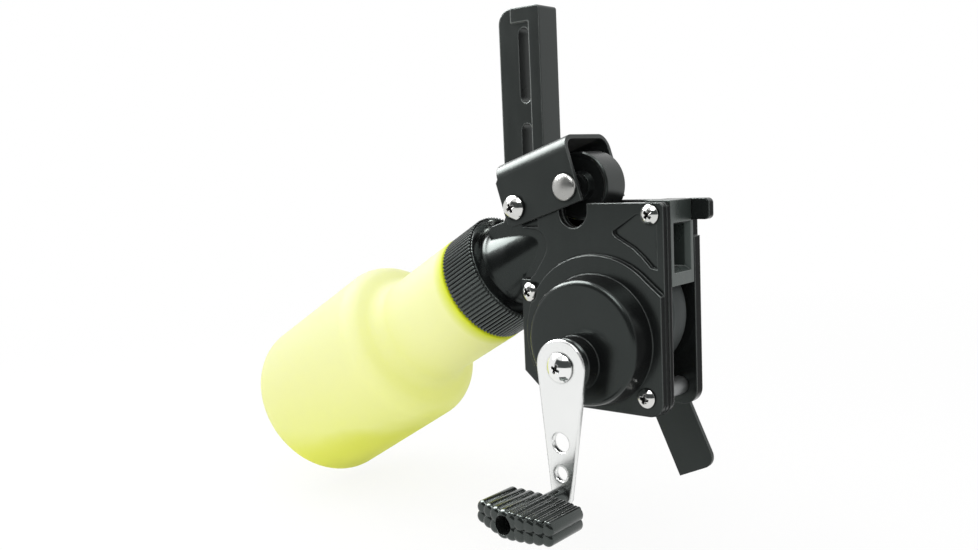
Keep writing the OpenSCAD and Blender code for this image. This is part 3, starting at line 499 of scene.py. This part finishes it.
# copies of the base mesh on the points of another object, sized and turned by what each point stores
def copyTree():
    tree, given = newTree("placedCopies", [("Places", "Object")])
    link = tree.links.new
    copies = addNode(tree, "GeometryNodeInstanceOnPoints")
    link(otherMesh(tree, given.outputs["Places"]), copies.inputs["Points"])
    link(given.outputs["Geometry"], copies.inputs["Instance"])
    link(storedVector(tree, "size"), copies.inputs["Scale"])
    link(storedVector(tree, "turn"), copies.inputs["Rotation"])
    return endTree(tree, given, copies.outputs[0])


# base mesh less the mesh of another object
def cutTree():
    tree, given = newTree("cutAway", [("Cutter", "Object")])
    cut = addNode(tree, "GeometryNodeMeshBoolean", operation="DIFFERENCE", solver="EXACT")
    cut.inputs["Self Intersection"].default_value = True
    tree.links.new(given.outputs["Geometry"], cut.inputs["Mesh 1"])
    tree.links.new(otherMesh(tree, given.outputs["Cutter"]), cut.inputs["Mesh 2"])
    return endTree(tree, given, cut.outputs[0])


# round wire along a row of points
def wireTree(sides):
    tree, given = newTree("bentWire", [("Radius", "Float")])
    link = tree.links.new
    path = addNode(tree, "GeometryNodeMeshToCurve")
    link(given.outputs["Geometry"], path.inputs["Mesh"])
    circle = addNode(tree, "GeometryNodeCurvePrimitiveCircle", Resolution=sides)
    link(given.outputs["Radius"], circle.inputs["Radius"])
    sweep = addNode(tree, "GeometryNodeCurveToMesh")
    sweep.inputs["Fill Caps"].default_value = True
    link(path.outputs[0], sweep.inputs["Curve"])
    link(circle.outputs["Curve"], sweep.inputs["Profile Curve"])
    return endTree(tree, given, sweep.outputs[0])


latheNodes = latheTree(weldGap=0.000002)
ringNodes = ringTree()
copyNodes = copyTree()
cutNodes = cutTree()
wireNodes = wireTree(sides=12)


def addObject(name, data):
    thing = bpy.data.objects.new(name, data)
    bpy.context.scene.collection.objects.link(thing)
    return thing


def runTree(mesh, tree, values):
    base = addObject("base", mesh)
    modifier = base.modifiers.new("build", "NODES")
    modifier.node_group = tree
    for item in tree.interface.items_tree:
        if item.in_out == "INPUT" and item.name in values:
            modifier[item.identifier] = values[item.name]
    base.update_tag()
    graph = bpy.context.evaluated_depsgraph_get()
    made = bpy.data.meshes.new_from_object(base.evaluated_get(graph))
    base.modifiers.remove(modifier)
    bpy.data.objects.remove(base)
    return made


# each place is a spot, a size and a turn
def runCopies(mesh, places, finish):
    spots = bpy.data.meshes.new("places")
    spots.from_pydata([place[0] for place in places], [], [])
    for label, column in (("size", 1), ("turn", 2)):
        layer = spots.attributes.new(label, "FLOAT_VECTOR", "POINT")
        for entry, place in zip(layer.data, places):
            entry.vector = place[column]
    holder = addObject("places", spots)
    made = runTree(mesh, copyNodes, {"Places": holder, "Finish": finish})
    bpy.data.objects.remove(holder)
    return made


def runCut(mesh, cutterMesh, finish):
    cutter = addObject("cutter", cutterMesh)
    made = runTree(mesh, cutNodes, {"Cutter": cutter, "Finish": finish})
    bpy.data.objects.remove(cutter)
    return made


# turns a row of radius and height round local Z
def turnedMesh(row, around, finish, divide=1):
    profile = bpy.data.meshes.new("profile")
    profile.from_pydata([(r / divide, 0, h / divide) for r, h in row], [], [])
    return runTree(profile, latheNodes, {"Around": around, "Along": len(row), "Finish": finish})


def meshFrom(work, name):
    mesh = bpy.data.meshes.new(name)
    work.to_mesh(mesh)
    work.free()
    return mesh


# joins meshes into one piece, faces outward, smooth but for hard angles
def newPiece(name, meshes, place, slotName, sharp=35):
    joined = bmesh.new()
    for mesh in meshes:
        joined.from_mesh(mesh)
    bmesh.ops.transform(joined, matrix=place, verts=joined.verts)
    bmesh.ops.recalc_face_normals(joined, faces=joined.faces)
    for face in joined.faces:
        face.smooth = True
    for edge in joined.edges:
        if len(edge.link_faces) == 2 and edge.calc_face_angle(0) > math.radians(sharp):
            edge.smooth = False
    data = meshFrom(joined, name)
    data.materials.append(finishes[slotName])
    piece = addObject(name, data)
    return piece


bottleLook = {
    "slope": 29.7, "throat": (-44.8, 10.7, 29.5), "wall": 1.6, "rim": 6.4, "rimR": 20.2,
    "neckFoot": 17.6, "footRound": 0.6, "footInside": (3, 1), "neckR": 23,
    "shoulder": 71.5, "lean": 65, "filletR": 8, "shoulderR": 9,
    "bodyR": 35.6, "taper": 0.6, "length": 139.3, "baseR": 8,
    "around": 160, "filletSteps": 14, "roundSteps": 16,
}
throatPlace = (Matrix.Translation(rowPoint(*bottleLook["throat"]))
               @ Euler((0, math.radians(-90 - bottleLook["slope"]), 0)).to_matrix().to_4x4())


def arcRow(middle, r, first, last, steps):
    turns = [math.radians(first + (last - first) * i / steps) for i in range(steps + 1)]
    return [(middle[0] + r * math.cos(turn), middle[1] + r * math.sin(turn)) for turn in turns]


def bottleRow(look):
    wall = look["wall"]
    lean = look["lean"]
    slant = math.radians(lean)
    arcs = look["filletR"] + look["shoulderR"]
    widening = look["bodyR"] - look["neckR"] - arcs * (1 - math.cos(slant))  # on the straight run
    saddle = look["shoulder"] - arcs * math.sin(slant) - widening / math.tan(slant)
    neck = (look["neckR"] + look["filletR"], saddle)
    shoulder = (look["bodyR"] - look["shoulderR"], look["shoulder"])
    base = (look["bodyR"] + look["taper"] - look["baseR"], look["length"] - look["baseR"])
    rimIn = look["rimR"] - wall
    foot = look["neckFoot"]
    neckStart, rimEnd = look["footInside"]
    outside = [(rimIn, look["rim"]), (look["rimR"], look["rim"]), (look["rimR"], foot),
               (look["neckR"] - look["footRound"], foot), (look["neckR"], foot + look["footRound"])]
    outside += arcRow(neck, look["filletR"], 180, 180 - lean, look["filletSteps"])
    outside += arcRow(shoulder, look["shoulderR"], -lean, 0, look["roundSteps"])
    outside += arcRow(base, look["baseR"], 0, 90, look["roundSteps"]) + [(0, look["length"])]
    inside = [(0, look["length"] - wall)] + arcRow(base, look["baseR"] - wall, 90, 0, look["roundSteps"])
    inside += arcRow(shoulder, look["shoulderR"] - wall, 0, -lean, look["roundSteps"])
    inside += arcRow(neck, look["filletR"] + wall, 180 - lean, 180, look["filletSteps"])
    inside += [(look["neckR"] - wall, foot + neckStart), (rimIn, foot + rimEnd), (rimIn, look["rim"])]
    return outside + inside


bottleWall = turnedMesh(bottleRow(bottleLook), bottleLook["around"], finishes["bottle_plastic"], perMetre)
bottle = newPiece("lineBottle", [bottleWall], throatPlace, "bottle_plastic", sharp=50)
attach(bottle, "line_bottle")
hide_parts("bottle")
print("bottle built,", len(bottle.data.polygons), "faces")

collarLook = {
    "outer": 22.8, "length": 17, "lipR": 16.6, "lip": 2.5, "skirt": 20.26, "around": 128,
    "ribs": 88, "rib": 0.8, "ribWide": 1, "ribDeep": 1.8, "ribShort": 0.6, "ribStart": 0.5, "ribRound": 0.3,
    "frontEdge": [(1.2, 0), (0.4, 0.3), (0.2, 1.1)],  # inset from the grooves and height
}


def ribMesh(width, height, length, roundness):
    work = bmesh.new()
    bmesh.ops.create_cube(work, size=1)
    bmesh.ops.scale(work, vec=Vector((height, width, length)), verts=work.verts)
    bmesh.ops.bevel(work, geom=work.edges[:], offset=min(width, height) * roundness, segments=3,
                    affect="EDGES")
    return meshFrom(work, "rib")


def collarMeshes(look):
    finish = finishes["collar_plastic"]
    groove = look["outer"] - look["rib"]
    row = [(look["lipR"], 0)] + [(groove - inset, height) for inset, height in look["frontEdge"]]
    row += [(row[-1][0], look["length"]), (look["skirt"], look["length"]), (look["skirt"], look["lip"]),
            (look["lipR"], look["lip"]), (look["lipR"], 0)]
    shell = turnedMesh(row, look["around"], finish, perMetre)
    ribLong = look["length"] - look["ribShort"]
    rib = ribMesh(look["ribWide"] / perMetre, look["ribDeep"] / perMetre, ribLong / perMetre,
                  look["ribRound"])
    ribMiddle = (look["outer"] - look["ribDeep"] / 2) / perMetre
    ribs = runTree(rib, ringNodes, {"Count": look["ribs"], "Radius": ribMiddle, "Finish": finish})
    ribs.transform(Matrix.Translation((0, 0, (look["ribStart"] + ribLong / 2) / perMetre)))
    return [shell, ribs]


collar = newPiece("ribbedCollar", collarMeshes(collarLook), throatPlace, "collar_plastic")
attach(collar, "ring")
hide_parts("collar")
print("collar built,", len(collar.data.polygons), "faces")

knobLook = {
    "axle": (-1.4292, -23.5, -45.4775), "stand": 11.4, "roll": 4, "left": 12.6, "right": 18.4,
    "long": 21.5, "endLong": 18.2, "top": 5, "low": 5, "leftT": 7.8, "rightT": 8.4,
    "lobes": 9, "endR": 2.4, "over": 0.35, "rightDrop": 0.25, "lobeSides": 40, "lobeStretch": 9,
    "ridgeR": 0.95, "ridgeAside": 0.18, "ridgeInset": 0.4, "ridgeSides": 20, "ridgeStretch": 20,
    "boreR": 3.3, "bore": 13.5, "wall": 0.7, "mouth": 0.3, "mouthInset": (0.9, 0.5),
    "pinR": 2.26, "hubR": 3.1, "hubInto": 1, "gap": 0.4, "drillOver": 3, "around": 64,
    "roundness": 0.6, "endSteps": 5,
}


# round bar along local Z with rounded ends, radius and length 1
def barMesh(sides, stretch, look):
    soft = look["roundness"]
    row = [(0, 0)]
    for i in range(look["endSteps"] + 1):
        turn = math.radians(90 * i / look["endSteps"])
        row.append((1 - soft + soft * math.sin(turn), (soft - soft * math.cos(turn)) / stretch))
    row += [(r, 1 - h) for r, h in reversed(row)]
    return turnedMesh(row, sides, finishes["knob_plastic"])


# upper and lower row of lobes, with two fine ridges on each lobe right of the axle
def knobPlaces(look):
    mid = (look["right"] - look["left"]) / 2
    half = (look["right"] + look["left"]) / 2 - look["endR"]
    pitch = 2 * half / (look["lobes"] - 1)
    middle = -look["stand"] - look["long"] / 2
    alongY = (math.pi / 2, 0, 0)
    ridgeR = look["ridgeR"]
    lobes = []
    ridges = []
    for i in range(look["lobes"]):
        x = mid - half + i * pitch
        long = look["long"] - (look["long"] - look["endLong"]) * ((x - mid) / half) ** 2
        back = middle + long / 2
        endT, endX = (look["leftT"], half - mid) if x < 0 else (look["rightT"], half + mid)
        low = (look["top"] - endT + look["low"]) * abs(x) / endX - look["low"]
        r = (look["top"] - low) / 4 + look["over"]
        drop = look["rightDrop"] if x > 0 else 0
        for z in (look["top"] - r - drop, low + r):
            lobes.append(((x, back, z), (r, r, long), alongY))
        if x > 0:
            for aside in (-look["ridgeAside"], look["ridgeAside"]):
                spot = (x + aside * pitch, back - look["ridgeInset"], look["top"] - ridgeR)
                ridges.append((spot, (ridgeR, ridgeR, long - 2 * look["ridgeInset"]), alongY))
    return lobes, ridges


def knobMesh(look):
    finish = finishes["knob_plastic"]
    lobes, ridges = knobPlaces(look)
    body = bmesh.new()
    for places, kind in ((lobes, "lobe"), (ridges, "ridge")):
        bar = barMesh(look[kind + "Sides"], look[kind + "Stretch"], look)
        body.from_mesh(runCopies(bar, places, finish))
    roll = Euler((0, math.radians(look["roll"]), 0)).to_matrix().to_4x4()
    bmesh.ops.transform(body, matrix=roll, verts=body.verts)
    tip = look["stand"] + look["long"]
    hubEnd = look["stand"] + look["hubInto"]
    coreR = look["boreR"] + look["wall"]
    wallEnd, mouthEnd = look["mouthInset"]
    sleeve = [(0, -look["gap"]), (look["hubR"], -look["gap"]), (look["hubR"], hubEnd), (coreR, hubEnd),
              (coreR, tip - wallEnd), (look["boreR"] + look["mouth"], tip - mouthEnd), (0, tip - mouthEnd)]
    core = turnedMesh(sleeve, look["around"], finish)
    core.transform(towardsFront)
    body.from_mesh(core)
    boreEnd = tip - look["bore"] - look["gap"]
    over = look["drillOver"]
    hole = [(0, -over), (look["pinR"], -over), (look["pinR"], boreEnd), (look["boreR"], boreEnd),
            (look["boreR"], tip + over), (0, tip + over)]
    drill = turnedMesh(hole, look["around"], finish)
    drill.transform(towardsFront)
    made = runCut(meshFrom(body, "grip"), drill, finish)
    made.transform(toMetres)
    return made


knobPlace = Matrix.Translation(rowPoint(*knobLook["axle"]))
knob = newPiece("lobedKnob", [knobMesh(knobLook)], knobPlace, "knob_plastic", sharp=42)
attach(knob, "handle")
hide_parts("knob")
print("knob built,", len(knob.data.polygons), "faces")

# places: seat of the head, length of the shank, turn of the recess and, on one, a prouder head
screwLook = {
    "case_screws": {
        "piece": "caseScrews", "body": "housing", "slot": "zinc_steel",
        "headR": 3.45, "headH": 2.2, "r": 1.75,
        "places": [((24.1, -2.2, 50.9), 23.9, 40), ((22.5, -4.6, -12), 26.3, 15),
                   ((-26.8, -2.2, 22.3), 23.9, 55, 1.3)],
    },
    "mount_screws": {
        "piece": "mountScrews", "body": "housing", "slot": "zinc_steel",
        "headR": 3.2, "headH": 2.3, "r": 2,
        "places": [((-51.8, 19.2, 53.8), 14.7, 20), ((-44.9, 19.2, 53.8), 14.7, 65)],
    },
    "pivot_pin": {
        "piece": "pivotScrew", "body": "housing", "slot": "zinc_steel",
        "headR": 4.6, "headH": 2.8, "r": 2.5,
        "places": [((-31.8, -4.6, 53.6), 34.1, 62)],
    },
    "crank_screw": {
        "piece": "crankScrew", "body": "crank", "slot": "crank_chrome",
        "headR": 5.2, "headH": 3.2, "r": 1.5,
        "places": [((0, -23.5, 0), 10.5, 25)],
    },
}
headLook = {"crown": 0.72, "seatRound": 0.1, "seatRise": 0.15, "steps": 10, "around": 56, "sharp": 30}
recessLook = {"long": 4, "wide": 1.15, "deep": 1.9, "longTaper": 0.5, "wideTaper": 0.8, "over": 0.3}


# cross of two wings that taper downwards, a little higher than the head
def recessMesh(look, headTop):
    work = bmesh.new()
    for turn in (0, math.pi / 2):
        wing = bmesh.ops.create_cube(work, size=1)["verts"]
        for vert in wing:
            upper = vert.co.z > 0
            vert.co.x *= look["long"] * (1 if upper else look["longTaper"])
            vert.co.y *= look["wide"] * (1 if upper else look["wideTaper"])
            vert.co.z = headTop + look["over"] if upper else headTop - look["deep"]
        bmesh.ops.rotate(work, verts=wing, cent=(0, 0, 0), matrix=Euler((0, 0, turn)).to_matrix())
    return meshFrom(work, "recess")


# head and shank in one turned profile, seat at z = 0
def screwMesh(look, long, finish, lift=0):
    r = look["headR"]
    top = look["headH"] + lift
    rise = look["headH"] * headLook["crown"]
    dome = (r * r + rise ** 2) / (2 * rise)
    row = [(0, -long), (look["r"], -long), (look["r"], 0),
           (r - headLook["seatRound"], 0), (r, headLook["seatRise"])]
    for i in range(headLook["steps"] + 1):
        turn = math.asin(r / dome) * (1 - i / headLook["steps"])
        row.append((dome * math.sin(turn), top - dome + dome * math.cos(turn)))
    body = turnedMesh(row, headLook["around"], finish)
    made = runCut(body, recessMesh(recessLook, top), finish)
    made.transform(towardsFront)
    return made


for nodeName, look in screwLook.items():
    finish = finishes[look["slot"]]
    meshes = []
    for spot, long, turn, *lift in look["places"]:
        place = [(spot, (1, 1, 1), (0, math.radians(turn), 0))]
        meshes.append(runCopies(screwMesh(look, long, finish, *lift), place, finish))
    screwPlace = Matrix.Translation(rowPoint(0, 0, 0)) @ toMetres
    piece = newPiece(look["piece"], meshes, screwPlace, look["slot"], headLook["sharp"])
    if nodeName == "crank_screw":
        piece.data.materials[0] = screwChrome
    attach(piece, look["body"])
    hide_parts(nodeName)
print("screws built")

rivetLook = {
    "at": (-9.01, -4.2, 60.79), "headR": 4.9, "headH": 2.2, "crown": 0.72, "seatRound": 0.1, "seatRise": 0.12,
    "grip": 29.3, "r": 2, "steps": 10, "around": 64, "sharp": 30,
}


# a domed head on both ends of one shank
def rivetMesh(look):
    r = look["headR"]
    front = [(look["r"], 0), (r - look["seatRound"], 0), (r, look["seatRise"])]
    for i in range(look["steps"] + 1):
        turn = math.radians(90 * i / look["steps"])
        rise = 1 - look["crown"] + look["crown"] * math.sin(turn)
        front.append((abs(r * math.cos(turn)), look["headH"] * rise))
    back = [(radius, -look["grip"] - height) for radius, height in reversed(front)]
    made = turnedMesh(back + front, look["around"], rivetSteel)
    made.transform(towardsFront)
    return made


rivetPlace = Matrix.Translation(rowPoint(*rivetLook["at"])) @ toMetres
rivet = newPiece("axleRivet", [rivetMesh(rivetLook)], rivetPlace, "zinc_steel", rivetLook["sharp"])
rivet.data.materials[0] = rivetSteel
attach(rivet, "lever")
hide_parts("roller_axle")
print("rivet built")

springLook = {
    "pivot": (-31.8, 53.6), "first": 5.45, "pitch": 1.75, "turns": 6, "r": 4, "wire": 0.55,
    "low": 8, "high": 18, "steps": 24, "held": 0.8,
}


# coil on the lever's pivot, one leg down to the housing and one up to the lever
def springMesh(look):
    x, z = look["pivot"]
    row = [(x + look["r"], look["first"], z - look["low"])]
    for i in range(look["turns"] * look["steps"] + 1):
        turn = math.tau * i / look["steps"]
        row.append((x + look["r"] * math.cos(turn), look["first"] + look["pitch"] * i / look["steps"],
                    z + look["r"] * math.sin(turn)))
    row.append((row[-1][0], row[-1][1], z + look["high"]))
    path = bpy.data.meshes.new("path")
    path.from_pydata([rowPoint(*point) for point in row], [(i, i + 1) for i in range(len(row) - 1)], [])
    return runTree(path, wireNodes, {"Radius": look["wire"] / perMetre, "Finish": finishes["spring_steel"]})


spring = newPiece("returnSpring", [springMesh(springLook)], Matrix.Identity(4), "spring_steel", sharp=50)
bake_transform(spring)
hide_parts("return_spring")
print("spring built,", len(spring.data.polygons), "faces")


# stage, light and camera

def seenFactor(tree):
    path = addNode(tree, "ShaderNodeLightPath")
    seen = mathNode(tree, "MAXIMUM", path.outputs["Is Camera Ray"], path.outputs["Is Glossy Ray"])
    return mathNode(tree, "MAXIMUM", seen, path.outputs["Is Transmission Ray"])


# pale floor that keeps the object's shadow and is plain white farther off
def stageFinish(name, look):
    mat, tree, shader = newFinish(name)
    cloud = noiseField(tree, objectSpace(tree), look["cloud"], detail=2)
    tree.links.new(clouded(tree, cloud, look["low"], look["high"]), shader.inputs["Base Color"])
    shader.inputs["Roughness"].default_value = look["rough"]
    glow = addNode(tree, "ShaderNodeEmission", Color=(1, 1, 1, 1), Strength=1)
    far = addNode(tree, "ShaderNodeVectorMath", operation="LENGTH")
    tree.links.new(objectSpace(tree), far.inputs[0])
    fade = rescale(tree, far.outputs["Value"], look["fade"], (look["glow"], 1), smooth=True)
    mixShaders(tree, times(tree, seenFactor(tree), fade), shader, glow)
    return mat


# the unlit end of the room, seen only in what mirrors it
def roomFactor(tree, look):
    coords = addNode(tree, "ShaderNodeTexCoord")
    flat = addNode(tree, "ShaderNodeVectorMath", operation="MULTIPLY")
    tree.links.new(coords.outputs["Generated"], flat.inputs[0])
    flat.inputs[1].default_value = (1, 1, 0)
    level = addNode(tree, "ShaderNodeVectorMath", operation="NORMALIZE")
    tree.links.new(flat.outputs["Vector"], level.inputs[0])
    parts = addNode(tree, "ShaderNodeSeparateXYZ")
    tree.links.new(coords.outputs["Generated"], parts.inputs[0])
    ahead = partAlong(tree, level.outputs["Vector"], look["room"])
    side = rescale(tree, ahead, look["roomSide"], smooth=True)
    under = rescale(tree, parts.outputs["Z"], look["roomTop"], (1, 0), smooth=True)
    mirrored = addNode(tree, "ShaderNodeLightPath").outputs["Is Glossy Ray"]
    return times(tree, times(tree, mirrored, side), under)


stageLook = {
    "level": cadLow.z - 0.004, "size": 12, "low": (0.84, 0.84, 0.84), "high": (0.88, 0.88, 0.88), "cloud": 2,
    "rough": 0.9, "glow": 0.85, "fade": (0.2, 0.8), "world": 1,
    "room": (0.438, -0.899, 0), "roomSide": (0.4, 0.5), "roomTop": (0.58, 0.68),
    "roomColor": (0.06, 0.065, 0.065),
}
half = stageLook["size"] / 2
corners = [(x * half, y * half, stageLook["level"]) for x, y in ((-1, -1), (1, -1), (1, 1), (-1, 1))]
floorMesh = bpy.data.meshes.new("floor")
floorMesh.from_pydata(corners, [], [(0, 1, 2, 3)])
floorMesh.materials.append(stageFinish("paleFloor", stageLook))
floor = addObject("floor", floorMesh)

world = bpy.data.worlds.new("studio")
bpy.context.scene.world = world
world.use_nodes = True
sky = world.node_tree
light = sky.nodes["Background"]
setInputs(light, {"Color": (1, 1, 1, 1), "Strength": stageLook["world"]})
backdrop = addNode(sky, "ShaderNodeBackground", Strength=1)
backdropColor = mixColors(sky, roomFactor(sky, stageLook), (1, 1, 1), stageLook["roomColor"])
sky.links.new(backdropColor, backdrop.inputs["Color"])
mixShaders(sky, seenFactor(sky), light, backdrop, "World Output")

lamps = [
    {"name": "key", "at": (-0.33, -0.1, 0.4), "size": 0.3, "power": 0.55, "mirrored": False},
    {"name": "fill", "at": (0.3, -0.5, 0.1), "size": 0.5, "power": 1, "mirrored": False},
    {"name": "leftBox", "at": (-0.4, -0.11, 0.45), "size": 0.55, "power": 15, "mirrored": True},
    {"name": "frontBox", "at": (0.22, -0.36, 0.44), "size": 0.3, "power": 2.2, "mirrored": True},
]
target = Vector((0.04, -0.04, -0.06))
for look in lamps:
    data = bpy.data.lights.new(look["name"], "AREA")
    data.size = look["size"]
    data.energy = look["power"]
    lamp = addObject(look["name"], data)
    lamp.location = look["at"]
    lamp.rotation_euler = (target - lamp.location).to_track_quat("-Z", "Y").to_euler()
    lamp.visible_diffuse = not look["mirrored"]  # soft boxes only show as gloss, the others only as light
    lamp.visible_glossy = look["mirrored"]
print("stage and lamps set")

cameraLook = {
    "at": (0.238418, -0.327235, -0.019456), "turn": (83.4421, 2.5089, 39.3414),
    "lens": 35.7335, "sensor": 36, "near": 0.01,
}
cameraData = bpy.data.cameras.new("photoCamera")
cameraData.sensor_width = cameraLook["sensor"]
cameraData.sensor_fit = "HORIZONTAL"
cameraData.lens = cameraLook["lens"]
cameraData.clip_start = cameraLook["near"]
camera = addObject("photoCamera", cameraData)
camera.location = cameraLook["at"]
camera.rotation_euler = Euler([math.radians(turn) for turn in cameraLook["turn"]], "XYZ")
bpy.context.scene.camera = camera
bpy.context.scene.view_settings.view_transform = "Standard"
print("camera set")
